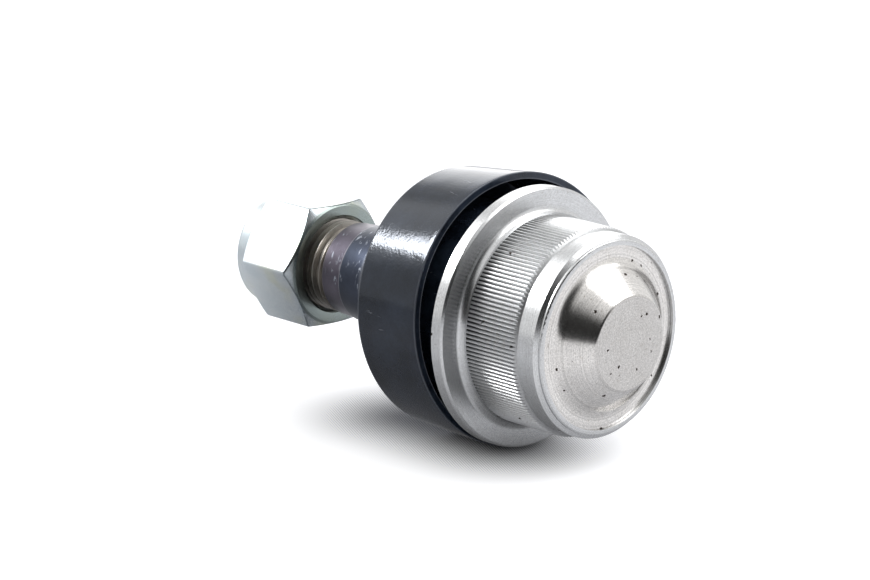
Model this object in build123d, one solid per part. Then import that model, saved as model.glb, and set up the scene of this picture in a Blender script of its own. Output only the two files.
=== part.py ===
from build123d import *
from math import asin, cos, pi, radians, sin, sqrt, tan
import os

# Press-in ball joint for a wheel suspension, lying on its side.
# X is the common axis of socket and stud: +X points out through the cover plate, the stud
# points along -X, +Z is up.  The origin is the centre of the ball.  Millimetres throughout.

# ---- travel -------------------------------------------------------------------------------
tilt_limit = 24.0             # degrees, in any direction from the socket's axis
travel_gap = 0.4              # room left between stud neck and throat at full tilt

# ---- clearances ---------------------------------------------------------------------------
running_gap = 0.05            # radial, where one piece turns in another
seat_gap = 0.05               # between pieces that are pushed or rolled together
overrun = 1.0                 # how far a cut or a joined solid reaches past its face

# ---- ball and stud (stations are distances from the ball centre towards the nut) ----------
ball_radius = 14.0
ball_flat_station = 13.2      # turned flat on the cover side of the ball
ball_neck_fillet = 1.2
neck_radius = 7.0
neck_end = 20.8
seal_seat_radius = 9.9        # ground cylinder under the boot's collar
seal_seat_start = 26.0
seal_seat_end = 42.0
taper_step_at = 50.8          # where the ground end of the taper begins
taper_step = 0.12
taper_end = 55.9
taper_small_radius = 9.15
taper_per_mm = 0.05           # 1:10 on the diameter
thread_radius = 9.0           # M18 x 1.5
stud_length = 80.5
tip_chamfer = 1.3
centre_drill_radius = 1.8
centre_drill_angle = 30.0     # of its cone's wall to the axis

# ---- ball seats ---------------------------------------------------------------------------
bearing_wall = 2.3
bearing_split_gap = 0.5       # left between the two halves, taken up as they wear
neck_bearing_length = 7.7
cover_bearing_height = 7.2
seat_cone_start = 3.0         # where the socket's bore starts to narrow towards the throat
throat_inner_station = 8.2
throat_outer_station = 10.0

# ---- socket housing -----------------------------------------------------------------------
flange_back = 10.0            # station of the flange's stud side
flange_thickness = 3.0
flange_radius = 25.0
flange_edge = 0.4
root_fillet = 1.5             # between the flange's face and the knurled band
knurl_radius = 20.0
knurl_depth = 0.5
knurl_length = 12.4
knurl_teeth = 156
knurl_tip_share = 0.22        # flat left on a tooth, as a share of the pitch
knurl_end_chamfer = 0.7
land_radius = 19.3
land_length = 3.9
lip_bevel_width = 0.8
lip_bevel_depth = 0.6
lip_height = 0.6              # rolled lip, over the cover's face
lip_nose_radius = 0.35
lip_inner_radius = 17.5
socket_neck_radius = 18.3
socket_neck_length = 5.5
socket_neck_chamfer = 0.5
boot_groove_radius = 16.9
boot_groove_width = 2.6
boot_groove_inset = 1.4       # from the flange to the groove

# ---- cover plate and what lies under it ---------------------------------------------------
cover_thickness = 2.0
cover_radius = 18.2
cover_edge_round = 0.4
dome_base_radius = 14.4
dome_top_radius = 9.0
dome_height = 5.8
dome_base_fillet = 3.0
dome_top_fillet = 0.7
seal_thickness = 0.4
seal_width = 1.6
spring_thickness = 1.1
spring_inner_radius = 12.6
spring_outer_radius = 16.0

# ---- dust boot ----------------------------------------------------------------------------
boot_rim_flare = 1.25         # the open rim is this much wider in radius than the heel
boot_wall = 1.4
boot_rim_gap = 3.0            # from the flange to the middle of the open rim
boot_skirt_length = 14.8
boot_rim_shift = 2.1          # the soft cup stands askew: its rim is moved towards +Y,
boot_slant_side = 0.072       # slants forward for each millimetre towards +Y,
boot_slant_top = 0.081        # and back for each millimetre upwards
boot_edge_round = 0.4
boot_collar_start = 32.4
boot_collar_end = 39.0
boot_collar_root = 2.0        # how far the collar reaches into the cup
boot_collar_wall = 2.45
boot_collar_grip = 0.4        # how deep the cup's end lies inside the collar's wall
boot_web_thickness = 1.6
boot_bead_height = 1.75
boot_bead_step = 1.8          # flat on the bead's back, which the wire ring grips

# ---- rings and sleeve ---------------------------------------------------------------------
sleeve_wall = 1.45
ring_wire_radius = 0.7
collar_ring_station = 36.0
collar_ring_sink = 0.35       # how deep the collar's groove takes the wire

# ---- nut ----------------------------------------------------------------------------------
nut_face_station = 60.6
nut_across_flats = 24.0
nut_turn = -1.6               # degrees that the nut stands turned on the stud
nut_hex_height = 14.5
nut_chamfer_angle = 30.0
nut_washer_radius = 11.6      # edge of the chamfer on the bearing face
nut_countersink = 0.75
nut_collar_radius = 11.1
nut_collar_height = 3.5
nut_collar_round = 1.0
nut_crimp_radius = 9.5
nut_crimp_thickness = 0.7
insert_thickness = 2.3
insert_wall = 1.3

# ---- sizes that follow from the ones above ------------------------------------------------
bearing_inner_radius = ball_radius + running_gap
bearing_outer_radius = ball_radius + running_gap + bearing_wall
bore_radius = bearing_outer_radius + seat_gap
flange_face = -flange_back + flange_thickness
knurl_start = flange_face + root_fillet
knurl_end = knurl_start + knurl_length
land_end = knurl_end + land_length
cover_back = land_end + lip_bevel_depth - seat_gap - cover_thickness
cover_face = cover_back + cover_thickness
dome_top = cover_face + dome_height
shoulder = cover_back - seal_thickness - 2 * seat_gap
cover_seat_radius = cover_radius + seat_gap
lip_top = cover_face + seat_gap + lip_height
boot_heel_radius = flange_radius
boot_rim_radius = boot_heel_radius + boot_rim_flare
boot_rim = -flange_back - boot_rim_gap
boot_heel = boot_rim - boot_skirt_length
sleeve_inner_radius = seal_seat_radius + running_gap
sleeve_outer_radius = sleeve_inner_radius + sleeve_wall
collar_inner_radius = sleeve_outer_radius + running_gap
collar_outer_radius = collar_inner_radius + boot_collar_wall
nut_corner_radius = nut_across_flats / 2 / cos(pi / 6)
nut_bore_radius = thread_radius + seat_gap
nut_end_station = nut_face_station + nut_hex_height + nut_collar_height


def turned(*outline):
    """Solid of revolution about the X axis; the outline's points are (x, radius)."""
    return revolve(Plane.XZ * make_face(Polyline(*outline, close=True)), Axis.X)


def turned_edges(*lines):
    """Solid of revolution about the X axis from joined lines and arcs drawn in (x, radius)."""
    edges = [edge for line in lines for edge in line.edges()]
    return revolve(Plane.XZ * make_face(edges), Axis.X)


def throat_radius(station):
    """Radius that the tilted neck needs at a station behind the ball centre."""
    tilt = radians(tilt_limit)
    return neck_radius / cos(tilt) + station * tan(tilt) + travel_gap


def taper_radius(station):
    return taper_small_radius + (taper_end - station) * taper_per_mm


# ---- socket housing: turned steel, knurled where it is pressed into the arm ---------------
def knurled_band():
    """Disc with straight teeth round it, their ends bevelled on the cover side."""
    pitch = 2 * pi / knurl_teeth
    half_tip = pitch * knurl_tip_share / 2
    root_radius = knurl_radius - knurl_depth
    points = []
    for tooth in range(knurl_teeth):
        middle = tooth * pitch
        for angle, radius in (
            (middle - half_tip, knurl_radius),
            (middle + half_tip, knurl_radius),
            (middle + pitch / 2, root_radius),
        ):
            points.append((radius * cos(angle), radius * sin(angle)))
    section = make_face(Polyline(*points, close=True))
    band = extrude(Plane.YZ.offset(knurl_start) * section, knurl_length)
    limit = knurl_radius + overrun
    envelope = turned(
        (knurl_start - overrun, 0),
        (knurl_start - overrun, limit),
        (knurl_end - knurl_end_chamfer - overrun, limit),
        (knurl_end, knurl_radius - knurl_end_chamfer),
        (knurl_end, 0),
    )
    return band & envelope


def socket_housing():
    back = -flange_back
    neck_back = back - socket_neck_length
    groove_front = back - boot_groove_inset
    groove_back = groove_front - boot_groove_width
    fillet_top = knurl_radius + root_fillet
    core = knurl_radius - 2 * knurl_depth
    bevel_radius = land_radius - lip_bevel_width
    body = turned_edges(
        Polyline(
            (neck_back, 0),
            (neck_back, socket_neck_radius - socket_neck_chamfer),
            (neck_back + socket_neck_chamfer, socket_neck_radius),
            (groove_back, socket_neck_radius),
            (groove_back, boot_groove_radius),
            (groove_front, boot_groove_radius),
            (groove_front, socket_neck_radius),
            (back, socket_neck_radius),
            (back, flange_radius - flange_edge),
            (back + flange_edge, flange_radius),
            (flange_face - flange_edge, flange_radius),
            (flange_face, flange_radius - flange_edge),
            (flange_face, fillet_top),
        ),
        RadiusArc((flange_face, fillet_top), (knurl_start, knurl_radius), -root_fillet),
        Polyline(
            (knurl_start, knurl_radius),
            (knurl_start, core),
            (knurl_end, core),
            (knurl_end, land_radius),
            (land_end, land_radius),
            (land_end + lip_bevel_depth, bevel_radius),
            (lip_top - lip_nose_radius, bevel_radius),
        ),
        RadiusArc(
            (lip_top - lip_nose_radius, bevel_radius),
            (lip_top, bevel_radius - lip_nose_radius),
            lip_nose_radius,
        ),
        Polyline(
            (lip_top, bevel_radius - lip_nose_radius),
            (lip_top, lip_inner_radius),
            (lip_top, 0),
            (neck_back, 0),
        ),
    )
    cavity = turned(
        (neck_back - overrun, 0),
        (neck_back - overrun, throat_radius(-neck_back + overrun)),
        (-throat_outer_station, throat_radius(throat_outer_station)),
        (-throat_inner_station, throat_radius(throat_outer_station)),
        (-seat_cone_start, bore_radius),
        (shoulder, bore_radius),
        (shoulder, cover_seat_radius),
        (cover_face + seat_gap, cover_seat_radius),
        (cover_face + seat_gap, lip_inner_radius),
        (lip_top + overrun, lip_inner_radius),
        (lip_top + overrun, 0),
    )
    return body + knurled_band() - cavity


# ---- cover plate: pressed from sheet, its rim held by the rolled lip ----------------------
def cover_plate():
    slope = (dome_base_radius - dome_top_radius) / dome_height
    flank_angle = pi / 2 - asin(slope / sqrt(1 + slope * slope))
    shift = cover_thickness * tan(flank_angle / 2)
    inner_top = dome_top - cover_thickness
    outside = FilletPolyline(
        (cover_back, cover_radius),
        (cover_face, cover_radius),
        (cover_face, dome_base_radius),
        (dome_top, dome_top_radius),
        (dome_top, 0),
        radius=[cover_edge_round, dome_base_fillet, dome_top_fillet],
    )
    inside = FilletPolyline(
        (inner_top, 0),
        (inner_top, dome_top_radius - shift),
        (cover_back, dome_base_radius - shift),
        (cover_back, cover_radius),
        radius=[dome_top_fillet, dome_base_fillet],
    )
    return turned_edges(outside, Line((dome_top, 0), (inner_top, 0)), inside)


def cover_seal():
    outer = cover_radius - seat_gap
    front = cover_back - seat_gap
    return turned(
        (front - seal_thickness, outer - seal_width),
        (front - seal_thickness, outer),
        (front, outer),
        (front, outer - seal_width),
    )


def disc_spring():
    """Coned washer: inner edge on the seat half, outer edge under the cover."""
    low = cover_bearing_height + seat_gap
    high = cover_back - seat_gap
    return turned(
        (low, spring_inner_radius),
        (low + spring_thickness, spring_inner_radius),
        (high, spring_outer_radius),
        (high - spring_thickness, spring_outer_radius),
    )


# ---- ball seats: two moulded halves round the ball ----------------------------------------
def seat_point(x):
    """Point (x, radius) on the hollow that the ball turns in."""
    return (x, sqrt(bearing_inner_radius**2 - x**2))


def seat_arc(x_from, x_to):
    return ThreePointArc(seat_point(x_from), seat_point((x_from + x_to) / 2), seat_point(x_to))


def neck_bearing():
    front = -bearing_split_gap / 2
    cone_slope = (bore_radius - throat_radius(throat_outer_station)) / (
        throat_inner_station - seat_cone_start
    )
    end_radius = bearing_outer_radius - (neck_bearing_length - seat_cone_start) * cone_slope
    return turned_edges(
        Polyline(
            seat_point(front),
            (front, bearing_outer_radius),
            (-seat_cone_start, bearing_outer_radius),
            (-neck_bearing_length, end_radius),
            seat_point(-neck_bearing_length),
        ),
        seat_arc(-neck_bearing_length, front),
    )


def cover_bearing():
    back = bearing_split_gap / 2
    return turned_edges(
        Polyline(
            seat_point(back),
            (back, bearing_outer_radius),
            (cover_bearing_height, bearing_outer_radius),
            seat_point(cover_bearing_height),
        ),
        seat_arc(cover_bearing_height, back),
    )


# ---- ball stud: forged, turned, the taper ground -------------------------------------------
def ball_stud():
    fillet_centre_radius = neck_radius + ball_neck_fillet
    fillet_centre = sqrt((ball_radius + ball_neck_fillet) ** 2 - fillet_centre_radius**2)
    touch = ball_radius / (ball_radius + ball_neck_fillet)
    on_ball = (-fillet_centre * touch, fillet_centre_radius * touch)
    on_neck = (-fillet_centre, neck_radius)
    flat_radius = sqrt(ball_radius**2 - ball_flat_station**2)
    step_radius = taper_radius(taper_step_at)
    return turned_edges(
        Line((ball_flat_station, 0), (ball_flat_station, flat_radius)),
        ThreePointArc((ball_flat_station, flat_radius), (0, ball_radius), on_ball),
        RadiusArc(on_ball, on_neck, -ball_neck_fillet),
        Polyline(
            on_neck,
            (-neck_end, neck_radius),
            (-seal_seat_start, seal_seat_radius),
            (-seal_seat_end, seal_seat_radius),
            (-taper_step_at, step_radius + taper_step),
            (-taper_step_at, step_radius),
            (-taper_end, taper_small_radius),
            (-taper_end, thread_radius),
            (-stud_length + tip_chamfer, thread_radius),
            (-stud_length, thread_radius - tip_chamfer),
            (-stud_length, centre_drill_radius),
            (-stud_length + centre_drill_radius / tan(radians(centre_drill_angle)), 0),
            (ball_flat_station, 0),
        ),
    )


# ---- dust boot: one moulded cup, closed round the stud, its web clipped behind the flange -
def leaned(solid):
    """The solid set askew in front of the collar, as the soft cup stands."""
    shift = boot_rim_shift / (boot_rim + boot_collar_start)
    rows = [
        [1, boot_slant_side, -boot_slant_top, 0],
        [shift, 1, 0, shift * boot_collar_start],
        [0, 0, 1, 0],
        [0, 0, 0, 1],
    ]
    return solid.transform_geometry(Matrix(rows))


def boot_cup():
    """Skirt and end wall, from the open rim to the collar."""
    start = -boot_collar_start
    end_outer_radius = collar_outer_radius - boot_collar_grip
    end_inner_radius = collar_inner_radius + boot_collar_grip
    outside = FilletPolyline(
        (boot_rim, boot_rim_radius - boot_wall),
        (boot_rim, boot_rim_radius),
        (boot_heel, boot_heel_radius),
        (start, end_outer_radius),
        radius=boot_edge_round,
    )
    inside = Polyline(
        (start, end_outer_radius),
        (start, end_inner_radius),
        (boot_heel + boot_wall, boot_heel_radius - boot_wall),
        (boot_rim, boot_rim_radius - boot_wall),
    )
    return leaned(turned_edges(outside, inside))


def boot_web():
    """Bead in the socket's groove and the thin wall from there into the cup's end wall."""
    groove_floor = boot_groove_radius + seat_gap
    bead_front = -flange_back - boot_groove_inset - seat_gap
    bead_back = -flange_back - boot_groove_inset - boot_groove_width + seat_gap
    bead_top = groove_floor + boot_bead_height
    web_low = socket_neck_radius + seat_gap
    web = turned(
        (bead_front, groove_floor),
        (bead_front, bead_top),
        (bead_front - boot_bead_step, bead_top),
        (bead_front - boot_bead_step - boot_web_thickness, web_low + boot_web_thickness),
        (-boot_collar_start, web_low + boot_web_thickness),
        (-boot_collar_start, web_low),
        (bead_back, web_low),
        (bead_back, groove_floor),
    )
    inset = boot_wall / 2
    up_to_wall = turned(
        (0, 0),
        (0, boot_heel_radius),
        (boot_heel + inset, boot_heel_radius),
        (-boot_collar_start + inset, collar_inner_radius),
        (-boot_collar_start + inset, 0),
    )
    return web & leaned(up_to_wall)


def dust_boot():
    root = -boot_collar_start + boot_collar_root
    collar = turned(
        (root, collar_inner_radius),
        (root, collar_outer_radius),
        (-boot_collar_end, collar_outer_radius),
        (-boot_collar_end, collar_inner_radius),
    )
    return boot_cup() + boot_web() + (collar - collar_ring(running_gap))


def boot_housing_ring():
    """Wire ring that grips the flat of the bead."""
    bead_top = boot_groove_radius + seat_gap + boot_bead_height
    middle = -flange_back - boot_groove_inset - seat_gap - boot_bead_step / 2
    track = bead_top + seat_gap + ring_wire_radius
    return Plane((middle, 0, 0), x_dir=(0, 1, 0), z_dir=(1, 0, 0)) * Torus(track, ring_wire_radius)


def collar_ring(extra=0.0):
    """Wire ring in the groove round the boot's collar."""
    track = collar_outer_radius - collar_ring_sink + ring_wire_radius
    plane = Plane((-collar_ring_station, 0, 0), x_dir=(0, 1, 0), z_dir=(1, 0, 0))
    return plane * Torus(track, ring_wire_radius + extra)


def boot_sleeve():
    start = -boot_collar_start
    return turned(
        (start, sleeve_inner_radius),
        (start, sleeve_outer_radius),
        (-boot_collar_end, sleeve_outer_radius),
        (-boot_collar_end, sleeve_inner_radius),
    )


# ---- nut: hexagon with a round collar that is crimped over a nylon ring --------------------
def hex_nut():
    face = -nut_face_station
    hex_back = face - nut_hex_height
    end = -nut_end_station
    prism = extrude(
        Plane.YZ.offset(hex_back) * RegularPolygon(nut_corner_radius, 6, rotation=nut_turn),
        nut_hex_height,
    )
    outer = nut_corner_radius + overrun
    drop = (outer - nut_washer_radius) * tan(radians(nut_chamfer_angle))
    collar_root = hex_back + overrun
    envelope = turned(
        (face, 0),
        (face, nut_washer_radius),
        (face - drop, outer),
        (hex_back + drop, outer),
        (hex_back, nut_washer_radius),
        (hex_back, 0),
    )
    collar = turned_edges(
        Polyline(
            (collar_root, 0),
            (collar_root, nut_collar_radius),
            (end + nut_collar_round, nut_collar_radius),
        ),
        RadiusArc(
            (end + nut_collar_round, nut_collar_radius),
            (end, nut_collar_radius - nut_collar_round),
            -nut_collar_round,
        ),
        Polyline((end, nut_collar_radius - nut_collar_round), (end, 0), (collar_root, 0)),
    )
    insert_end = end + nut_crimp_thickness
    insert_start = insert_end + insert_thickness + 2 * seat_gap
    insert_radius = nut_bore_radius + insert_wall + seat_gap
    bore = turned(
        (face + overrun, 0),
        (face + overrun, nut_bore_radius + nut_countersink + overrun),
        (face - nut_countersink, nut_bore_radius),
        (insert_start, nut_bore_radius),
        (insert_start, insert_radius),
        (insert_end, insert_radius),
        (insert_end, nut_crimp_radius),
        (end - overrun, nut_crimp_radius),
        (end - overrun, 0),
    )
    return (prism & envelope) + collar - bore


def nut_insert():
    back = -nut_end_station + nut_crimp_thickness + seat_gap
    return turned(
        (back, nut_bore_radius),
        (back, nut_bore_radius + insert_wall),
        (back + insert_thickness, nut_bore_radius + insert_wall),
        (back + insert_thickness, nut_bore_radius),
    )


pieces = {
    "socket_housing": socket_housing(),
    "cover_plate": cover_plate(),
    "cover_seal": cover_seal(),
    "disc_spring": disc_spring(),
    "cover_bearing": cover_bearing(),
    "neck_bearing": neck_bearing(),
    "ball_stud": ball_stud(),
    "dust_boot": dust_boot(),
    "boot_housing_ring": boot_housing_ring(),
    "boot_stud_ring": collar_ring(),
    "boot_sleeve": boot_sleeve(),
    "hex_nut": hex_nut(),
    "nut_insert": nut_insert(),
}

os.makedirs("parts", exist_ok=True)
for name, piece in pieces.items():
    export_step(piece, f"parts/{name}.step")
    box = piece.bounding_box()
    print(name, f"{piece.volume:.1f} mm3", "x", round(box.min.X, 2), round(box.max.X, 2))
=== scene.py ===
import math
import bmesh
import bpy
from mathutils import Matrix, Vector


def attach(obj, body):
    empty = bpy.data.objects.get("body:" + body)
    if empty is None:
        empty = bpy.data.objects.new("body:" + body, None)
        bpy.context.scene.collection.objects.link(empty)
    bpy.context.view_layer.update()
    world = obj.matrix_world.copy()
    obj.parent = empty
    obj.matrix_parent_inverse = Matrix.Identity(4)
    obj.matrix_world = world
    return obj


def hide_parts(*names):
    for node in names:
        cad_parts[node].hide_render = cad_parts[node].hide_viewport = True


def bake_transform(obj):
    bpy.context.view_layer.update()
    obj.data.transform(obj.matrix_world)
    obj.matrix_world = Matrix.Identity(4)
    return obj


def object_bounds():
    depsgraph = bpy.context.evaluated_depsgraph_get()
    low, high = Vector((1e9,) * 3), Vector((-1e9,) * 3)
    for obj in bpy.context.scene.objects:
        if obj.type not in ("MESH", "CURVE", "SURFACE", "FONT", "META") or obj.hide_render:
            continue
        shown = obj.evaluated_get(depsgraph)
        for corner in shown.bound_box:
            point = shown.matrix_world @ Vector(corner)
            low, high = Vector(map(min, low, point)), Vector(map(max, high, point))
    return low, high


# Press-in ball joint, lying on its side. Metres, in the frame of the CAD model: X is the common
# axis of socket and stud, +X points out through the cover plate, and the origin is the ball's centre.
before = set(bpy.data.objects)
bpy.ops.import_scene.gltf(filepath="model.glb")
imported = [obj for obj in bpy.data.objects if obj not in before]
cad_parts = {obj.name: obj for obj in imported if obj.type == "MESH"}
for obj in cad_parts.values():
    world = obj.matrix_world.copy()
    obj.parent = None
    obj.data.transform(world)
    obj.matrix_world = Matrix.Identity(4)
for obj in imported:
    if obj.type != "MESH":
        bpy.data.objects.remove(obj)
cad_box = [list(corner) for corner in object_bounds()]
mm = 0.001


# ---- Ball stud -----------------------------------------------------------------------------------
# Alloy steel, cold forged in one with its ball, turned, hardened and ground on the taper. It stands
# in the socket by its ball, and its thread takes the nut.
def hex_colour(code):
    """An sRGB hex colour as linear red, green, blue and alpha."""
    parts = [int(code[i:i + 2], 16) / 255 for i in (1, 3, 5)]
    return [p / 12.92 if p <= 0.04045 else ((p + 0.055) / 1.055) ** 2.4 for p in parts] + [1.0]


def add(tree, kind, inputs=None, **settings):
    """Adds a node. A node or socket given for an input is linked to it, anything else is its value."""
    made = tree.nodes.new(kind)
    for name, value in settings.items():
        setattr(made, name, value)
    for key, value in (inputs or {}).items():
        if isinstance(value, bpy.types.Node):
            value = value.outputs[0]
        if isinstance(value, bpy.types.NodeSocket):
            tree.links.new(value, made.inputs[key])
        else:
            made.inputs[key].default_value = value
    return made


def blank_material(name):
    """A new material with no nodes yet, and its tree."""
    material = bpy.data.materials.new(name)
    material.use_nodes = True
    material.node_tree.nodes.clear()
    return material, material.node_tree


def fill_ramp(ramp, stops):
    """Sets a colour ramp from two or more (position, colour) pairs in rising order."""
    for element, (position, shade) in ((ramp.elements[0], stops[0]), (ramp.elements[-1], stops[-1])):
        element.position = position
        element.color = hex_colour(shade)
    for position, shade in stops[1:-1]:
        ramp.elements.new(position).color = hex_colour(shade)


def rounded(corners, steps=4):
    """Outline through (x, radius) or (x, radius, rounding) corners, in millimetres."""
    points = []
    for i, corner in enumerate(corners):
        here = Vector(corner[:2])
        size = corner[2] if len(corner) > 2 else 0
        if size == 0:
            points.append(tuple(here))
            continue
        before = Vector(corners[i - 1][:2]) - here
        after = Vector(corners[(i + 1) % len(corners)][:2]) - here
        one, two = before.normalized(), after.normalized()
        half = one.angle(two) / 2
        reach = min(size / math.tan(half), 0.48 * before.length, 0.48 * after.length)
        centre = here + (one + two).normalized() * (reach / math.cos(half))
        start = here + one * reach - centre
        turn = start.angle_signed(here + two * reach - centre)
        for step in range(steps + 1):
            points.append(tuple(centre + Matrix.Rotation(-turn * step / steps, 2) @ start))
    return points


# Faces that meet at more than sharp_edge are shaded with an edge between them. A point nearer to X
# than axis_radius, in millimetres, is one point on the axis.
sharp_edge = math.radians(35)
axis_radius = 1e-6


def lathe(name, outline, material, turns=256, form=None):
    """A piece turned round X from a closed outline of (x, radius), in millimetres.
    form moves a finished point, given its place and the number of its outline point."""
    build = bmesh.new()
    rings = []
    for number, (x, radius) in enumerate(outline):
        angles = [2 * math.pi * t / turns for t in range(turns)] if radius > axis_radius else [0]
        around = [Vector((x, radius * math.cos(angle), radius * math.sin(angle))) for angle in angles]
        rings.append([build.verts.new((form(point, number) if form else point) * mm) for point in around])
    for one, two in zip(rings, rings[1:] + rings[:1]):
        if len(one) == 1 and len(two) == 1:
            continue
        for t in range(turns):
            after = t + 1
            loop = [one[t % len(one)], one[after % len(one)], two[after % len(two)], two[t % len(two)]]
            build.faces.new(list(dict.fromkeys(loop)))
    bmesh.ops.recalc_face_normals(build, faces=build.faces)
    mesh = bpy.data.meshes.new(name)
    build.to_mesh(mesh)
    build.free()
    mesh.shade_smooth()
    mesh.set_sharp_from_angle(angle=sharp_edge)
    mesh.materials.append(material)
    piece = bpy.data.objects.new(name, mesh)
    bpy.context.scene.collection.objects.link(piece)
    return piece


def from_axis(tree):
    """Object coordinates, their x, and the distance from the X axis."""
    place = add(tree, "ShaderNodeTexCoord").outputs["Object"]
    parts = add(tree, "ShaderNodeSeparateXYZ", {0: place}).outputs
    across = add(tree, "ShaderNodeCombineXYZ", {"Y": parts["Y"], "Z": parts["Z"]})
    radius = add(tree, "ShaderNodeVectorMath", {0: across}, operation="LENGTH").outputs["Value"]
    return place, parts["X"], radius


def tool_rings(tree, spacing, x, radius):
    """Height of the rings a lathe tool leaves, the same all round X, at a spacing in metres."""
    ring = add(tree, "ShaderNodeCombineXYZ", {"X": x, "Y": radius})
    return add(tree, "ShaderNodeTexNoise", {
        "Vector": ring, "Scale": 1 / spacing, "Detail": 2.0}, noise_dimensions="2D")


scratch_patch = 9 * mm


def scratches(tree, place, stretch, width, share):
    """Fine scratches in patches: 1 on a scratch, 0 elsewhere. stretch draws them out along an axis,
    and width is in metres."""
    drawn = add(tree, "ShaderNodeMapping", {"Vector": place, "Scale": stretch})
    fine = add(tree, "ShaderNodeTexNoise", {
        "Vector": drawn, "Scale": 1 / width, "Detail": 3.0, "Roughness": 0.7, "Distortion": 0.6})
    patch = add(tree, "ShaderNodeTexNoise", {"Vector": place, "Scale": 1 / scratch_patch, "Detail": 2.0})
    lines = add(tree, "ShaderNodeMapRange", {"Value": fine, "From Min": share, "From Max": share + 0.05})
    where = add(tree, "ShaderNodeMapRange", {"Value": patch, "From Min": 0.5, "From Max": 0.6})
    return add(tree, "ShaderNodeMath", {0: lines, 1: where}, operation="MULTIPLY")


ball_radius, ball_flat = 14.0, 13.2
neck_radius, neck_end, neck_fillet = 7.0, 20.8, 1.2
taper_large_radius, taper_start, taper_close = 9.9, 26.0, 42.0
step_station, step_radius, step_height = 50.8, 9.405, 0.12
taper_small_radius, thread_start = 9.15, 55.9
stud_end, tip_chamfer = 80.5, 0.45
drill_radius, drill_slope = 1.8, math.tan(math.radians(30))
thread_radius, thread_depth, thread_pitch = 9.0, 0.92, 1.5
root_radius = thread_radius - thread_depth
runout_front, runout_back, runout_share, runout_height = 1.0, 0.85, 0.03, 0.05
foot_share, crest_share = 0.88, 0.14
stain_size, scuff_width, stud_ring_spacing, stud_ring_depth = 3.3, 0.9, 0.3, 0.015

# Hardened steel: a satin metal, violet grey on the plain shank and dull blue on the taper, paler where the
# collar's seat was rubbed. The thread is paler too, partly its own rolled finish and partly a painted
# highlight for its crests. The narrow pale band at the step, at -50.8, is a painted highlight along the
# step's edge. Each shade stands at its x in millimetres. The grinding rings are far finer than 0.3 mm and are
# drawn that coarse to show at all.
shades = [(-60.5, "#A7A39D"), (-56.0, "#8F8B86"), (-55.6, "#56525B"), (-51.0, "#524E58"),
          (-50.8, "#7F7D83"), (-50.5, "#333843"), (-45.3, "#383D49"), (-41.5, "#A9ABB0")]
first_x, last_x = shades[0][0], shades[-1][0]
stud_steel, tree = blank_material("forged_alloy_steel_hardened_and_ground")
place, x, radius = from_axis(tree)
along = add(tree, "ShaderNodeMapRange", {"Value": x, "From Min": first_x * mm, "From Max": last_x * mm})
zones = add(tree, "ShaderNodeValToRGB", {"Fac": along})
fill_ramp(zones.color_ramp, [((at - first_x) / (last_x - first_x), shade) for at, shade in shades])
stain = add(tree, "ShaderNodeTexNoise", {
    "Vector": place, "Scale": 1 / (stain_size * mm), "Detail": 5.0, "Roughness": 0.65})
patchy = add(tree, "ShaderNodeMixRGB", {
    "Fac": 0.5, "Color1": zones, "Color2": stain.outputs["Fac"]}, blend_type="OVERLAY")
scuffs = scratches(tree, place, (1.0, 0.3, 0.3), scuff_width * mm, 0.59)
scuffed = add(tree, "ShaderNodeMixRGB", {"Fac": scuffs, "Color1": patchy, "Color2": hex_colour("#8F949E")})
rings = tool_rings(tree, stud_ring_spacing * mm, x, radius)
bump = add(tree, "ShaderNodeBump", {
    "Height": rings, "Strength": 0.4, "Distance": stud_ring_depth * mm})
shader = add(tree, "ShaderNodeBsdfPrincipled", {
    "Base Color": scuffed, "Metallic": 1.0, "Roughness": 0.36, "Normal": bump})
add(tree, "ShaderNodeOutputMaterial", {"Surface": shader})

# The ball runs into the neck through a fillet that touches both.
fillet_reach = ball_radius + neck_fillet
fillet_x = math.sqrt(fillet_reach ** 2 - (neck_radius + neck_fillet) ** 2)
first = math.acos(ball_flat / ball_radius)
last = math.acos(-fillet_x / fillet_reach)
ball_steps = 48
ball_angles = [first + (last - first) * i / ball_steps for i in range(ball_steps + 1)]
ball = [(ball_radius * math.cos(angle), ball_radius * math.sin(angle)) for angle in ball_angles]
shank = rounded([
    (-fillet_x - 0.9, neck_radius), (-neck_end, neck_radius, 1.0),
    (-taper_start, taper_large_radius, 0.6), (-taper_close, taper_large_radius, 0.8),
    (-step_station, step_radius + step_height, 0.05), (-step_station, step_radius, 0.05),
    (-thread_start, taper_small_radius, 0.25), (-thread_start - 0.6, root_radius, 0.1),
    (-stud_end + tip_chamfer, root_radius, 0.1), (-stud_end, root_radius - tip_chamfer, 0.1),
    (-stud_end, drill_radius, 0.08), (-stud_end + drill_radius / drill_slope, 0), (ball_flat, 0)])
stud = lathe("threaded_stud", ball + shank, stud_steel)
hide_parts("ball_stud")
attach(stud, "stud")

# The thread is rolled: one ridge that winds round the shank from the taper to the tip. It fades out
# over about half a turn at both ends, and its foot is a little narrower than the pitch.
group = bpy.data.node_groups.new("rolled_thread", "GeometryNodeTree")
group.interface.new_socket("Geometry", in_out="OUTPUT", socket_type="NodeSocketGeometry")
for label, value in (("Pitch", thread_pitch * mm), ("Root radius", root_radius * mm),
                     ("Depth", thread_depth * mm), ("Start", -(thread_start + runout_front) * mm),
                     ("Length", (stud_end - thread_start - runout_front - runout_back) * mm)):
    group.interface.new_socket(label, in_out="INPUT", socket_type="NodeSocketFloat").default_value = value
given = add(group, "NodeGroupInput").outputs
turns = add(group, "ShaderNodeMath", {0: given["Length"], 1: given["Pitch"]}, operation="DIVIDE")
winding = add(group, "GeometryNodeCurveSpiral", {
    "Resolution": 72, "Rotations": turns, "Start Radius": given["Root radius"],
    "End Radius": given["Root radius"], "Height": given["Length"]})
upright = add(group, "GeometryNodeSetCurveNormal", {"Curve": winding}, mode="Z_UP")
walked = add(group, "GeometryNodeSplineParameter").outputs["Factor"]
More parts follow.
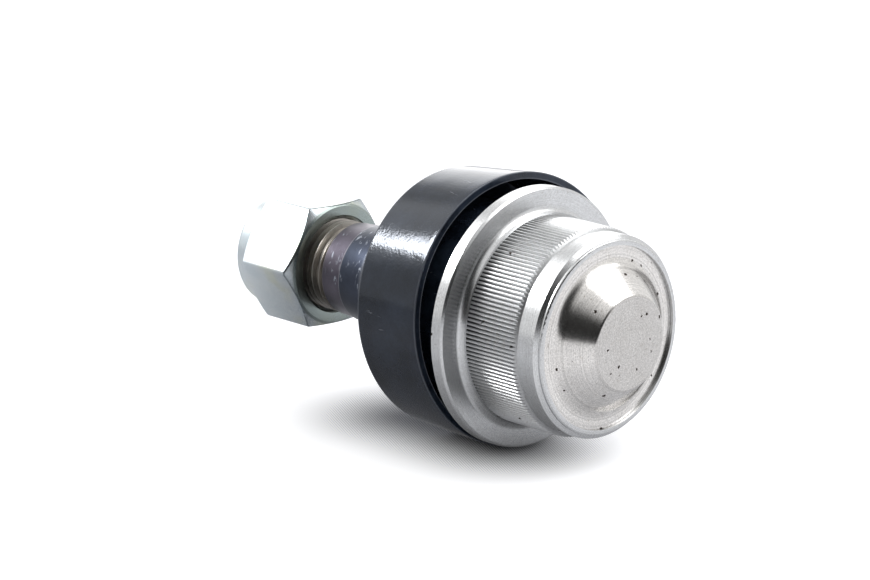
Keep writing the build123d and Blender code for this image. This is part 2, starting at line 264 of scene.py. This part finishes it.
rise = add(group, "ShaderNodeMapRange", {
    "Value": walked, "From Min": 0.0, "From Max": runout_share, "To Min": runout_height, "To Max": 1.0})
fall = add(group, "ShaderNodeMapRange", {
    "Value": walked, "From Min": 1 - runout_share, "From Max": 1.0,
    "To Min": 1.0, "To Max": runout_height})
fade = add(group, "ShaderNodeMath", {0: rise, 1: fall}, operation="MINIMUM")
foot = add(group, "ShaderNodeMath", {0: given["Pitch"], 1: foot_share}, operation="MULTIPLY")
crest = add(group, "ShaderNodeMath", {0: given["Pitch"], 1: crest_share}, operation="MULTIPLY")
tall = add(group, "ShaderNodeMath", {0: given["Depth"], 1: 2.0}, operation="MULTIPLY")
section = add(group, "GeometryNodeCurvePrimitiveQuadrilateral", {
    "Height": tall, "Bottom Width": foot, "Top Width": crest, "Offset": 0.0}, mode="TRAPEZOID")
outward = add(group, "GeometryNodeTransform", {"Geometry": section, "Rotation": (0, 0, math.pi / 2)})
ridge = add(group, "GeometryNodeCurveToMesh", {
    "Curve": upright, "Profile Curve": outward, "Scale": fade, "Fill Caps": True})
shift = add(group, "ShaderNodeCombineXYZ", {"X": given["Start"]})
laid = add(group, "GeometryNodeTransform", {
    "Geometry": ridge, "Translation": shift, "Rotation": (0, -math.pi / 2, 0)})
real = add(group, "GeometryNodeRealizeInstances", {0: laid})
painted = add(group, "GeometryNodeSetMaterial", {"Geometry": real, "Material": stud_steel})
add(group, "NodeGroupOutput", {0: painted})

carrier = bpy.data.objects.new("stud_thread", bpy.data.meshes.new("thread_carrier"))
bpy.context.scene.collection.objects.link(carrier)
carrier.modifiers.new("rolled_thread", "NODES").node_group = group
graph = bpy.context.evaluated_depsgraph_get()
thread_mesh = bpy.data.meshes.new_from_object(carrier.evaluated_get(graph))
carrier.modifiers.clear()
carrier.data = thread_mesh
thread_mesh.name = "stud_thread"
thread_mesh.set_sharp_from_angle(angle=sharp_edge)
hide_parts("ball_stud")
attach(carrier, "stud")


# ---- Ball seats ----------------------------------------------------------------------------------
# Two halves moulded in white acetal and greased, pressed into the socket round the ball.
# The grease gives the plastic a soft, cloudy gloss.
def dress(node, material):
    """Gives a CAD node its material."""
    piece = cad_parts[node]
    piece.data.materials.clear()
    piece.data.materials.append(material)


def mottled_finish(name, size, tones, **sockets):
    """A material of one finish whose tone drifts between two shades over size, in metres.
    sockets are the shader's own constants, with _ for the spaces in their names."""
    material, tree = blank_material(name)
    place = add(tree, "ShaderNodeTexCoord").outputs["Object"]
    drift = add(tree, "ShaderNodeTexNoise", {"Vector": place, "Scale": 1 / size, "Detail": 3.0})
    tone = add(tree, "ShaderNodeMixRGB", {
        "Fac": drift.outputs["Fac"], "Color1": hex_colour(tones[0]), "Color2": hex_colour(tones[1])})
    constants = {key.replace("_", " "): value for key, value in sockets.items()}
    shader = add(tree, "ShaderNodeBsdfPrincipled", {"Base Color": tone, **constants})
    add(tree, "ShaderNodeOutputMaterial", {"Surface": shader})
    return material


acetal = mottled_finish("moulded_acetal_with_grease", 3.3 * mm, ("#E6E1D4", "#D9D2BE"),
                        Roughness=0.3, IOR=1.48)
dress("neck_bearing", acetal)
dress("cover_bearing", acetal)


# ---- Socket housing ------------------------------------------------------------------------------
# Free-cutting steel turned on a lathe and left bright, its band rolled with fine straight teeth
# that bite into the arm when it is pressed in. The seats and the ball go in from its open front.
def pits(tree, place, spacing, share):
    """Small dark pits strewn over a surface: 1 in a pit, 0 elsewhere. spacing is in metres."""
    cells = add(tree, "ShaderNodeTexVoronoi", {"Vector": place, "Scale": 1 / spacing, "Randomness": 1.0})
    chance = add(tree, "ShaderNodeSeparateColor", {0: cells.outputs["Color"]})
    picked = add(tree, "ShaderNodeMath", {0: chance, 1: share}, operation="LESS_THAN")
    ragged = add(tree, "ShaderNodeTexNoise", {"Vector": place, "Scale": 6 / spacing, "Detail": 2.0})
    edge = add(tree, "ShaderNodeMath", {0: ragged.outputs["Fac"], 1: 0.34}, operation="MULTIPLY")
    inside = add(tree, "ShaderNodeMath", {0: cells.outputs["Distance"], 1: edge}, operation="LESS_THAN")
    return add(tree, "ShaderNodeMath", {0: picked, 1: inside}, operation="MULTIPLY")


knurl_start, knurl_end, knurl_radius, knurl_depth = -5.5, 6.9, 20.0, 0.5
# The knurl's painted shade leaves the top 0.15 mm of each tooth clear. It thins from the flange's end of the
# band to 3 mm short of the other end.
unshaded_tip, shade_fade = 0.15, 3.0


def painted_shade_between_teeth(tree, x, radius):
    """Where the knurl's teeth are, and how much painted shade lies between them, in the roots of the teeth:
    most near the flange."""
    low = add(tree, "ShaderNodeMapRange", {
        "Value": radius, "From Min": (knurl_radius - knurl_depth) * mm,
        "From Max": (knurl_radius - unshaded_tip) * mm, "To Min": 1.0, "To Max": 0.0})
    ahead = add(tree, "ShaderNodeMath", {0: x, 1: knurl_start * mm}, operation="GREATER_THAN")
    behind = add(tree, "ShaderNodeMath", {0: x, 1: knurl_end * mm}, operation="LESS_THAN")
    band = add(tree, "ShaderNodeMath", {0: ahead, 1: behind}, operation="MULTIPLY")
    near = add(tree, "ShaderNodeMapRange", {
        "Value": x, "From Min": knurl_start * mm, "From Max": (knurl_end - shade_fade) * mm,
        "To Min": 1.0, "To Max": 0.3})
    root_shade = add(tree, "ShaderNodeMath", {0: low, 1: near}, operation="MULTIPLY")
    return band, add(tree, "ShaderNodeMath", {0: root_shade, 1: band}, operation="MULTIPLY")


cloud_size, ring_spacing, grain_size = 5.5 * mm, 0.22 * mm, 0.3 * mm
bloom_size, pit_spacing, pit_roughness, full_bloom = 0.7 * mm, 1.92 * mm, 0.45, 0.5
skin_start, skin_full, skin_shade = 0.35, 0.1, 0.8


def bright_steel(name, tones, roughness, ring_depth, grain, pit_share, knurled=False, skin_x=None):
    """Machined steel with the tool's rings round X, faint clouds of oxide, thin brown bloom and a
    few pits. grain is how much of its relief is the sheet's own, and skin_x is the x, in
    millimetres, in front of which a flat has kept the greyer skin of the sheet."""
    material, tree = blank_material(name)
    place, x, radius = from_axis(tree)
    clouds = add(tree, "ShaderNodeTexNoise", {
        "Vector": place, "Scale": 1 / cloud_size, "Detail": 5.0, "Roughness": 0.6})
    tone = add(tree, "ShaderNodeMixRGB", {
        "Fac": clouds.outputs["Fac"], "Color1": hex_colour(tones[0]), "Color2": hex_colour(tones[1])})
    rings = tool_rings(tree, ring_spacing, x, radius).outputs["Fac"]
    fine = add(tree, "ShaderNodeTexNoise", {
        "Vector": place, "Scale": 1 / grain_size, "Detail": 3.0}).outputs["Fac"]
    relief = add(tree, "ShaderNodeMixRGB", {"Fac": grain, "Color1": rings, "Color2": fine})
    mottled = add(tree, "ShaderNodeMixRGB", {"Fac": 0.65, "Color1": rings, "Color2": fine})
    shade = add(tree, "ShaderNodeMapRange", {
        "Value": mottled, "From Min": 0.3, "From Max": 0.7,
        "To Min": 0.84 - 0.3 * grain, "To Max": 1.09 + 0.22 * grain})
    tone = add(tree, "ShaderNodeMixRGB", {"Fac": 1.0, "Color1": tone, "Color2": shade}, blend_type="MULTIPLY")
    if skin_x:
        skin = add(tree, "ShaderNodeMapRange", {
            "Value": x, "From Min": (skin_x - skin_start) * mm, "From Max": (skin_x - skin_full) * mm,
            "To Min": 1.0, "To Max": skin_shade})
        tone = add(tree, "ShaderNodeMixRGB", {
            "Fac": 1.0, "Color1": tone, "Color2": skin}, blend_type="MULTIPLY")
    rust = add(tree, "ShaderNodeTexNoise", {
        "Vector": place, "Scale": 1 / bloom_size, "Detail": 3.0, "Roughness": 0.7})
    bloom = add(tree, "ShaderNodeMapRange", {
        "Value": rust, "From Min": 0.6, "From Max": 0.74, "To Min": 0.0, "To Max": full_bloom})
    tone = add(tree, "ShaderNodeMixRGB", {"Fac": bloom, "Color1": tone, "Color2": hex_colour("#8F8577")})
    spots = pits(tree, place, pit_spacing, pit_share)
    dulled = spots
    # Painted shade: the roots of the knurl's teeth are darkened, most near the flange.
    if knurled:
        band, tooth_root_shade = painted_shade_between_teeth(tree, x, radius)
        tone = add(tree, "ShaderNodeMixRGB", {
            "Fac": tooth_root_shade, "Color1": tone, "Color2": hex_colour("#333235")})
        dulled = add(tree, "ShaderNodeMath", {0: spots, 1: band}, operation="MAXIMUM")
    spotted = add(tree, "ShaderNodeMixRGB", {
        "Fac": spots, "Color1": tone, "Color2": hex_colour("#3A332E")})
    finish = add(tree, "ShaderNodeMapRange", {"Value": dulled, "To Min": roughness, "To Max": pit_roughness})
    sunk = add(tree, "ShaderNodeMath", {0: relief, 1: spots}, operation="SUBTRACT")
    bump = add(tree, "ShaderNodeBump", {"Height": sunk, "Strength": 1.0, "Distance": ring_depth})
    around = add(tree, "ShaderNodeTangent", direction_type="RADIAL", axis="X")
    shader = add(tree, "ShaderNodeBsdfPrincipled", {
        "Base Color": spotted, "Metallic": 1.0, "Roughness": finish, "Anisotropic": 0.6,
        "Anisotropic Rotation": 0.25, "Tangent": around, "Normal": bump})
    add(tree, "ShaderNodeOutputMaterial", {"Surface": shader})
    return material


# The tool's rings spread each reflection along the radius, and painted shade in the roots of the teeth,
# darkest near the flange, makes them stand out dark and light. Rings of 0.22 mm and a sheet's grain of 0.3 mm
# are coarser than the real ones, so that they show at all.
turned = bright_steel("turned_free_cutting_steel", ("#D8D9DA", "#C4C5C6"), roughness=0.26,
                      ring_depth=0.005 * mm, grain=0.1, pit_share=0.05, knurled=True)
dress("socket_housing", turned)


# ---- Spring and seal -----------------------------------------------------------------------------
# A coned washer of oiled spring steel keeps the seats pressed on the ball. A flat ring of nitrile
# rubber, matt and nearly black, seals under the cover's rim.
oiled = mottled_finish("oiled_spring_steel", 2 * mm, ("#4C4B4D", "#6A686A"), Metallic=1.0, Roughness=0.38)
dress("disc_spring", oiled)
nitrile = mottled_finish("moulded_nitrile_rubber", 1.1 * mm, ("#1B1B1D", "#29292B"), Roughness=0.6)
dress("cover_seal", nitrile)


# ---- Cover plate ---------------------------------------------------------------------------------
# Steel sheet pressed into a dome with a flat top and clenched under the housing's rolled lip. The
# press polishes the flank, and the sheet keeps a fine grain and greyer skin on its flat top.
dome_top = 17.15
pressed = bright_steel("deep_drawn_steel_sheet", ("#E6E4E2", "#D6D3CF"), roughness=0.21,
                       ring_depth=0.006 * mm, grain=0.5, pit_share=0.10, skin_x=dome_top)
dress("cover_plate", pressed)


# ---- Dust boot -----------------------------------------------------------------------------------
# One moulding of chloroprene rubber: an open cup as wide as the flange, a thin web inside it that
# is clipped behind the flange by a wire ring, and a collar that grips the stud's sleeve. It is
# soft, so the cup stands a little askew.
rim, heel, collar_start, collar_end = -13.0, -27.8, -32.4, -39.0
rim_radius, heel_radius, boot_wall = 26.18, 25.0, 1.4
collar_inner, collar_outer, collar_mouth, mouth_radius = 11.45, 13.9, -30.4, 13.6
web_low, web_high, bead_low, bead_high = 18.35, 19.95, 16.95, 18.7
bead_front, bead_back, bead_step, bead_neck = -11.45, -13.95, -13.25, -14.85
groove_middle, groove_radius, groove_half, ring_track = -36.0, 0.75, 0.7, 14.25
rim_shift, slant_side, slant_top = 2.1, 0.072, 0.081
edge_highlight_width, section_step, boot_turns = 0.3, 0.9, 224
firm_collar, lean_rise, cone_thickness, web_skin, web_rise = 0.6, 6.0, 1.0, 0.1, 12.0

# Moulded rubber with an oily bloom: a smooth, blue-black gloss with a slightly rippled skin and fine scuffs
# round it. A pale grey painted highlight runs along the edges of its rim and heel.
rubber, tree = blank_material("moulded_chloroprene_rubber")
place = add(tree, "ShaderNodeTexCoord").outputs["Object"]
bloom = add(tree, "ShaderNodeTexNoise", {
    "Vector": place, "Scale": 1 / (8.3 * mm), "Detail": 5.0, "Roughness": 0.65})
spread = add(tree, "ShaderNodeMapRange", {"Value": bloom, "From Min": 0.35, "From Max": 0.7})
tone = add(tree, "ShaderNodeMixRGB", {
    "Fac": spread, "Color1": hex_colour("#10161F"), "Color2": hex_colour("#333C4B")})
scuffs = scratches(tree, place, (0.3, 1.0, 1.0), 1.4 * mm, 0.67)
# Painted highlight: pale grey along the edges of the rim and heel, mixed with the real scuffs.
painted_edge = add(tree, "ShaderNodeAttribute", attribute_name="painted_edge_reflection")
scuffs_and_highlight = add(tree, "ShaderNodeMath", {0: scuffs, 1: painted_edge.outputs["Fac"]}, operation="MAXIMUM")
scuffed = add(tree, "ShaderNodeMixRGB", {"Fac": scuffs_and_highlight, "Color1": tone, "Color2": hex_colour("#7C8089")})
gloss = add(tree, "ShaderNodeMapRange", {
    "Value": bloom, "From Min": 0.3, "From Max": 0.7, "To Min": 0.09, "To Max": 0.14})
skin = add(tree, "ShaderNodeTexNoise", {"Vector": place, "Scale": 1 / (0.5 * mm), "Detail": 2.0})
swell = add(tree, "ShaderNodeTexNoise", {"Vector": place, "Scale": 1 / (6 * mm), "Detail": 1.0})
waves = add(tree, "ShaderNodeMath", {0: swell, 1: 3.0, 2: skin}, operation="MULTIPLY_ADD")
bump = add(tree, "ShaderNodeBump", {"Height": waves, "Strength": 1.0, "Distance": 0.02 * mm})
shader = add(tree, "ShaderNodeBsdfPrincipled", {
    "Base Color": scuffed, "Roughness": gloss, "IOR": 1.52,
    "Specular Tint": hex_colour("#DCE3EF"), "Normal": bump})
add(tree, "ShaderNodeOutputMaterial", {"Surface": shader})


def spaced(points, step):
    """The points, with more between them where they are further apart than step."""
    result = []
    for one, two in zip(points, points[1:]):
        parts = max(1, math.ceil(math.dist(one, two) / step))
        result += [tuple(a + (b - a) * i / parts for a, b in zip(one, two)) for i in range(parts)]
    return result


groove_angles = [math.radians(25 + 130 * i / 12) for i in range(13)]
groove = [(groove_middle + groove_radius * math.cos(angle), ring_track - groove_radius * math.sin(angle))
          for angle in groove_angles]
cup_out = rounded([
    (rim, rim_radius - boot_wall, 0.12), (rim, rim_radius - boot_wall + 0.3),
    (rim, rim_radius - 0.32), (rim, rim_radius, 0.14), (rim - 0.32, rim_radius),
    (heel + 0.4, heel_radius + 0.03), (heel, heel_radius, 0.2), (heel - 0.2, heel_radius - 0.4),
    (collar_start, collar_outer, 1.2), (groove_middle + groove_half, collar_outer)])[:-1]
collar = rounded([
    (groove_middle - groove_half, collar_outer), (collar_end, collar_outer, 0.5),
    (collar_end, collar_inner, 0.2), (collar_mouth, collar_inner, 0.4), (collar_mouth, mouth_radius, 0.6)])
cone_step = (heel + boot_wall - collar_start) / (heel_radius - boot_wall - collar_inner)
on_cone = [(collar_start + (radius - collar_inner) * cone_step, radius)
           for radius in (mouth_radius, web_low, web_high)]
web = rounded([
    (bead_back, web_low), (bead_back, bead_low, 0.1), (bead_front, bead_low, 0.3),
    (bead_front, bead_high, 0.4), (bead_step, bead_high, 0.2), (bead_neck, web_high, 0.3)])
cup_in = [(heel + boot_wall + 0.5, heel_radius - boot_wall), (rim - 0.4, rim_radius - boot_wall)]
outline = cup_out + groove + collar + on_cone[:2] + web + on_cone[2:] + cup_in + cup_out[:1]
section = spaced(outline, section_step)


def set_askew(point, number):
    """Leans the cup as its rim and heel stand, less and less down the web and towards the collar."""
    x, radius = section[number]
    out = min(max((radius - collar_outer - firm_collar) / lean_rise, 0), 1)
    lean = out * out * (3 - 2 * out)
    if x > collar_start + cone_thickness and radius < web_high + web_skin:
        lean *= min(max((bead_neck - x) / web_rise, 0), 1)
    side = rim_shift * (x - collar_start) / (rim - collar_start)
    shift = Vector((slant_side * point.y - slant_top * point.z, side, 0))
    return point + shift * lean


def mark_painted_edge(piece, outline, edges, width, turns):
    """Keeps on a lathe's mesh how near each point is to an edge of its outline, from 1 to 0, as the mask of a
    painted edge reflection.
    """
    near = [max(0.0, 1 - min(math.dist(point, edge) for edge in edges) / width) for point in outline]
    painted_edge = piece.data.attributes.new("painted_edge_reflection", "FLOAT", "POINT")
    painted_edge.data.foreach_set("value", [share for share in near for _ in range(turns)])


boot = lathe("rubber_boot", section, rubber, turns=boot_turns, form=set_askew)
boot_edges = [(rim, rim_radius), (rim, rim_radius - boot_wall), (heel, heel_radius)]
mark_painted_edge(boot, section, boot_edges, edge_highlight_width, boot_turns)
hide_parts("dust_boot")
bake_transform(boot)


# ---- Boot rings and sleeve -----------------------------------------------------------------------
# Two rings of drawn spring wire, satin and grey, hold the boot. A sleeve of black acetal with a
# soft gloss is clipped in its collar and lets it turn on the stud.
wire = mottled_finish("drawn_spring_wire", 0.8 * mm, ("#77787B", "#9A9B9C"), Metallic=1.0, Roughness=0.28)
dress("boot_housing_ring", wire)
dress("boot_stud_ring", wire)
black_acetal = mottled_finish("moulded_black_acetal", 2.5 * mm, ("#1F1F21", "#2C2C2F"),
                              Roughness=0.32, IOR=1.48)
dress("boot_sleeve", black_acetal)


# ---- Lock nut ------------------------------------------------------------------------------------
# A hexagon nut of zinc-plated steel, turned and milled from bar, with a collar crimped over a blue
# nylon ring that grips the thread. The nut holds the stud in the knuckle it is pulled into.
nut_face, hex_back, nut_end = -60.6, -75.1, -78.6
half_flats, corner_radius, corner_land, nut_turn = 12.0, 13.856, 0.12, math.radians(-1.6)
washer_radius, nut_collar_radius, nut_bore, nut_lead = 11.6, 11.1, 9.05, 0.75
pocket_start, pocket_end, pocket_radius, crimp_radius = -75.5, -77.9, 10.4, 9.5
chamfer_slope = math.tan(math.radians(30))
chamfer = (corner_radius - washer_radius) * chamfer_slope
nut_dark_edge_width, nut_turns, flat_margin = 0.5, 360, 0.5
spangle_size = 0.3 * mm

# A clear passivated skin gives the satin zinc a faint blue, yellow and green shimmer. The face that bears is
# rubbed grey, and a dark painted reflection runs along the chamfer's edge. The plating's grain is drawn
# coarser than it is, so that it shows.
zinc, tree = blank_material("zinc_plated_steel_clear_passivated")
place = add(tree, "ShaderNodeTexCoord").outputs["Object"]
x = add(tree, "ShaderNodeSeparateXYZ", {0: place}).outputs["X"]
shimmer = add(tree, "ShaderNodeTexNoise", {"Vector": place, "Scale": 1 / (7 * mm), "Detail": 3.0})
tint = add(tree, "ShaderNodeValToRGB", {"Fac": shimmer.outputs["Fac"]})
fill_ramp(tint.color_ramp, [(0.3, "#C6D0D6"), (0.52, "#D0D7DA"), (0.72, "#D0D4C4")])
spangle = add(tree, "ShaderNodeTexNoise", {
    "Vector": place, "Scale": 1 / spangle_size, "Detail": 2.0}).outputs["Fac"]
seat = add(tree, "ShaderNodeMapRange", {
    "Value": x, "From Min": (nut_face - 0.4) * mm, "From Max": (nut_face - 0.2) * mm,
    "To Min": 0.0, "To Max": 0.85})
rubbed = add(tree, "ShaderNodeMixRGB", {"Fac": seat, "Color1": tint, "Color2": hex_colour("#8B9692")})
# Painted reflection: the chamfer's edge is darkened to blue-black, broken up by the plating's grain.
painted_edge = add(tree, "ShaderNodeAttribute", attribute_name="painted_edge_reflection")
broken = add(tree, "ShaderNodeMapRange", {
    "Value": spangle, "From Min": 0.35, "From Max": 0.55, "To Min": 0.5, "To Max": 1.0})
dark_edge = add(tree, "ShaderNodeMath", {0: painted_edge.outputs["Fac"], 1: broken}, operation="MULTIPLY")
tone = add(tree, "ShaderNodeMixRGB", {"Fac": dark_edge, "Color1": rubbed, "Color2": hex_colour("#2B3640")})
bump = add(tree, "ShaderNodeBump", {"Height": spangle, "Strength": 0.5, "Distance": 0.01 * mm})
shader = add(tree, "ShaderNodeBsdfPrincipled", {
    "Base Color": tone, "Metallic": 1.0, "Roughness": 0.27, "Normal": bump})
add(tree, "ShaderNodeOutputMaterial", {"Surface": shader})

chamfer_edge = (nut_face - chamfer, corner_radius)
nut_outline = rounded([
    (nut_face, washer_radius, 0.1), (*chamfer_edge, 0.6),
    (hex_back + chamfer, corner_radius, 0.6), (hex_back, washer_radius, 0.1),
    (hex_back, nut_collar_radius, 0.25), (nut_end, nut_collar_radius, 1.0), (nut_end, crimp_radius, 0.25),
    (pocket_end, crimp_radius, 0.1), (pocket_end, pocket_radius), (pocket_start, pocket_radius),
    (pocket_start, nut_bore, 0.1), (nut_face - nut_lead, nut_bore, 0.1),
    (nut_face, nut_bore + nut_lead, 0.12)])


def on_hexagon(point, number):
    """Draws the widest rings in to the six flats. The chamfers keep their slope, so that they
    cut each flat in a curve, and the corners are broken by a narrow land."""
    x, radius = nut_outline[number]
    if radius > half_flats + flat_margin:
        from_flat = math.atan2(point.z, point.y) % math.radians(60) - math.radians(30)
        drawn_in = corner_radius - min(half_flats / math.cos(from_flat), corner_radius - corner_land)
        scale = (radius - drawn_in) / radius
        ahead = 1 if x > (nut_face + hex_back) / 2 else -1
        point = Vector((x + ahead * drawn_in * chamfer_slope, point.y * scale, point.z * scale))
    return Matrix.Rotation(nut_turn, 3, "X") @ point


nut = lathe("lock_nut", nut_outline, zinc, turns=nut_turns, form=on_hexagon)
mark_painted_edge(nut, nut_outline, [chamfer_edge], nut_dark_edge_width, nut_turns)
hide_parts("hex_nut")
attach(nut, "stud")

# The ring is moulded nylon, dyed blue, which has a soft waxy gloss.
nylon = mottled_finish("moulded_nylon", 2.5 * mm, ("#2C5CA0", "#3B6DB2"),
                       Roughness=0.4, IOR=1.53, Subsurface_Weight=0.1)
dress("nut_insert", nylon)


# ---- Table cloth ---------------------------------------------------------------------------------
# A bleached cotton cloth, plain woven and drawn flat over a table. Its threads show only in the shade under
# the object, real and painted, because elsewhere its glow makes the cloth as white as the studio round it.
floor_height = cad_box[0][2]
half_width = 3.0
thread_spacing, weave_turn = 0.48 * mm, math.radians(28)
shaded_back, shaded_front = -38 * mm, -14 * mm
corners = [(-half_width, -half_width, floor_height), (half_width, -half_width, floor_height),
           (half_width, half_width, floor_height), (-half_width, half_width, floor_height)]
mesh = bpy.data.meshes.new("table_cloth")
mesh.from_pydata(corners, [], [(0, 1, 2, 3)])
floor = bpy.data.objects.new("table_cloth", mesh)
bpy.context.scene.collection.objects.link(floor)

cotton, tree = blank_material("bleached_woven_cotton")
place = add(tree, "ShaderNodeTexCoord").outputs["Object"]
laid = add(tree, "ShaderNodeMapping", {"Vector": place, "Rotation": (0, 0, weave_turn)})
waves_per_unit = 20 / (2 * math.pi)
wave_scale = 1 / (thread_spacing * waves_per_unit)
warp, weft = [add(tree, "ShaderNodeTexWave", {
    "Vector": laid, "Scale": wave_scale, "Distortion": 1.0, "Detail": 2.0,
    "Detail Scale": 0.5}, bands_direction=way).outputs["Fac"] for way in ("X", "Y")]
weave = add(tree, "ShaderNodeMath", {0: warp, 1: weft}, operation="MULTIPLY")
tone = add(tree, "ShaderNodeMixRGB", {
    "Fac": weave, "Color1": hex_colour("#8E9098"), "Color2": hex_colour("#F8F8FA")})
lit = add(tree, "ShaderNodeBsdfDiffuse", {"Color": tone})

# How far a spot is from the line the object rests along. The glow that makes the open cloth white rises with
# that distance, which leaves a painted shadow along that line on top of the object's real shadow.
seen = add(tree, "ShaderNodeLightPath").outputs
spot = add(tree, "ShaderNodeSeparateXYZ", {0: place}).outputs
under = add(tree, "ShaderNodeClamp", {"Value": spot["X"], "Min": shaded_back, "Max": shaded_front})
beside = add(tree, "ShaderNodeMath", {0: spot["X"], 1: under}, operation="SUBTRACT")
gap = add(tree, "ShaderNodeCombineXYZ", {"X": beside, "Y": spot["Y"]})
away = add(tree, "ShaderNodeVectorMath", {0: gap}, operation="LENGTH").outputs["Value"]
glow_beside_painted_shadow = add(tree, "ShaderNodeMapRange", {
    "Value": away, "From Min": 2 * mm, "From Max": 30 * mm, "To Min": 0.0, "To Max": 0.9},
    interpolation_type="SMOOTHSTEP")
white_outside_painted_shadow = add(tree, "ShaderNodeMath", {0: seen["Is Camera Ray"], 1: glow_beside_painted_shadow}, operation="MULTIPLY")

# Seen in metal, the cloth glows as a painted reflection: bright, but dimmed by painted shadow close to the
# object, and darker to its left.
leftward = add(tree, "ShaderNodeVectorMath", {
    0: place, 1: (-0.7, -0.7, 0)}, operation="DOT_PRODUCT").outputs["Value"]
beyond = add(tree, "ShaderNodeMapRange", {
    "Value": leftward, "From Min": 0.0, "From Max": 60 * mm, "To Min": 0.65, "To Max": 0.4})
clear = add(tree, "ShaderNodeMapRange", {
    "Value": away, "From Min": 10 * mm, "From Max": 70 * mm, "To Min": 0.15, "To Max": 1.0})
painted_reflection = add(tree, "ShaderNodeMath", {0: beyond, 1: clear}, operation="MULTIPLY")
glow = add(tree, "ShaderNodeMath", {
    0: seen["Is Glossy Ray"], 1: painted_reflection, 2: white_outside_painted_shadow}, operation="MULTIPLY_ADD")
shine = add(tree, "ShaderNodeEmission", {"Color": (1, 1, 1, 1), "Strength": glow})
both = add(tree, "ShaderNodeAddShader", {0: lit, 1: shine})
add(tree, "ShaderNodeOutputMaterial", {"Surface": both})
mesh.materials.append(cotton)


# ---- Light and camera ----------------------------------------------------------------------------
# A pale studio round the table, white behind and overhead and dark on the camera's side, so that
# the steel has something to show. A wide soft lamp hangs above and a small one at the left.
dark_side = (0.75, -0.66, 0.0)
window_way, panel_way = (-0.70, 0.67, 0.24), (-0.70, -0.30, 0.65)
world = bpy.data.worlds.new("studio")
bpy.context.scene.world = world
world.use_nodes = True
tree = world.node_tree
tree.nodes.clear()
seen = add(tree, "ShaderNodeLightPath").outputs
towards = add(tree, "ShaderNodeTexCoord").outputs["Generated"]
height = add(tree, "ShaderNodeSeparateXYZ", {0: towards}).outputs["Z"]
front = add(tree, "ShaderNodeVectorMath", {0: towards, 1: dark_side}, operation="DOT_PRODUCT")
facing = add(tree, "ShaderNodeMapRange", {
    "Value": front.outputs["Value"], "From Min": 0.3, "From Max": 0.6}, interpolation_type="SMOOTHSTEP")
low = add(tree, "ShaderNodeMapRange", {
    "Value": height, "From Min": 0.5, "From Max": 0.85, "To Min": 1.0, "To Max": 0.0},
    interpolation_type="SMOOTHSTEP")
dark = add(tree, "ShaderNodeMath", {0: facing, 1: low}, operation="MULTIPLY")
room = add(tree, "ShaderNodeMapRange", {"Value": dark, "To Min": 1.0, "To Max": 0.03})

# A window behind and a panel at the upper left show only in what shines.
window = add(tree, "ShaderNodeVectorMath", {0: towards, 1: window_way}, operation="DOT_PRODUCT")
bright = add(tree, "ShaderNodeMapRange", {
    "Value": window.outputs["Value"], "From Min": 0.86, "From Max": 0.99, "To Min": 0.0, "To Max": 1.8},
    interpolation_type="SMOOTHSTEP")
panel = add(tree, "ShaderNodeVectorMath", {0: towards, 1: panel_way}, operation="DOT_PRODUCT")
broad = add(tree, "ShaderNodeMapRange", {
    "Value": panel.outputs["Value"], "From Min": 0.89, "From Max": 0.97, "To Min": 0.0, "To Max": 1.2},
    interpolation_type="SMOOTHSTEP")
openings = add(tree, "ShaderNodeMath", {0: bright, 1: broad}, operation="ADD")
lifted = add(tree, "ShaderNodeMath", {
    0: openings, 1: seen["Is Glossy Ray"], 2: room}, operation="MULTIPLY_ADD")
soft = add(tree, "ShaderNodeMapRange", {"Value": seen["Is Diffuse Ray"], "To Min": 1.0, "To Max": 0.55})
shown = add(tree, "ShaderNodeMath", {0: lifted, 1: soft}, operation="MULTIPLY")
level = add(tree, "ShaderNodeMath", {0: shown, 1: seen["Is Camera Ray"]}, operation="MAXIMUM")
sky = add(tree, "ShaderNodeBackground", {"Color": (1, 1, 1, 1), "Strength": level})
add(tree, "ShaderNodeOutputWorld", {"Surface": sky})


def lamp(name, place, size, watts, glint=False):
    """A square soft lamp that faces the object. glint is one that is only seen in what shines."""
    data = bpy.data.lights.new(name, "AREA")
    data.size = size
    data.energy = watts
    made = bpy.data.objects.new(name, data)
    made.location = place
    made.visible_diffuse = not glint
    made.rotation_euler = (-Vector(place)).to_track_quat("-Z", "Y").to_euler()
    bpy.context.scene.collection.objects.link(made)


lamp("overhead", (0.35, 0.38, 0.62), 0.6, 3.4)
lamp("left", (-0.42, -0.36, 0.45), 0.2, 3.6, glint=True)

# The camera looks along the object from its front right, a little from above. Its distance is from
# the middle of the flange's back, which stands to the right of and below the middle of the frame.
azimuth, elevation = math.radians(45.22), math.radians(15.81)
flange_back, distance, off_right, off_up = Vector((-10 * mm, 0, 0)), 753.47 * mm, -16.727 * mm, 4.637 * mm
level_part = math.cos(elevation)
forward = Vector((-math.sin(azimuth) * level_part, math.cos(azimuth) * level_part, -math.sin(elevation)))
right = Vector((math.cos(azimuth), math.sin(azimuth), 0))
up = right.cross(forward)
lens = bpy.data.cameras.new("camera")
lens.sensor_width = 36
lens.lens = 165.5
lens.clip_start = 0.01
lens.clip_end = 20
camera = bpy.data.objects.new("camera", lens)
stand = flange_back + off_right * right + off_up * up - distance * forward
camera.matrix_world = Matrix.Translation(stand) @ Matrix((right, up, -forward)).transposed().to_4x4()
bpy.context.scene.collection.objects.link(camera)
bpy.context.scene.camera = camera
bpy.context.scene.view_settings.view_transform = "Standard"
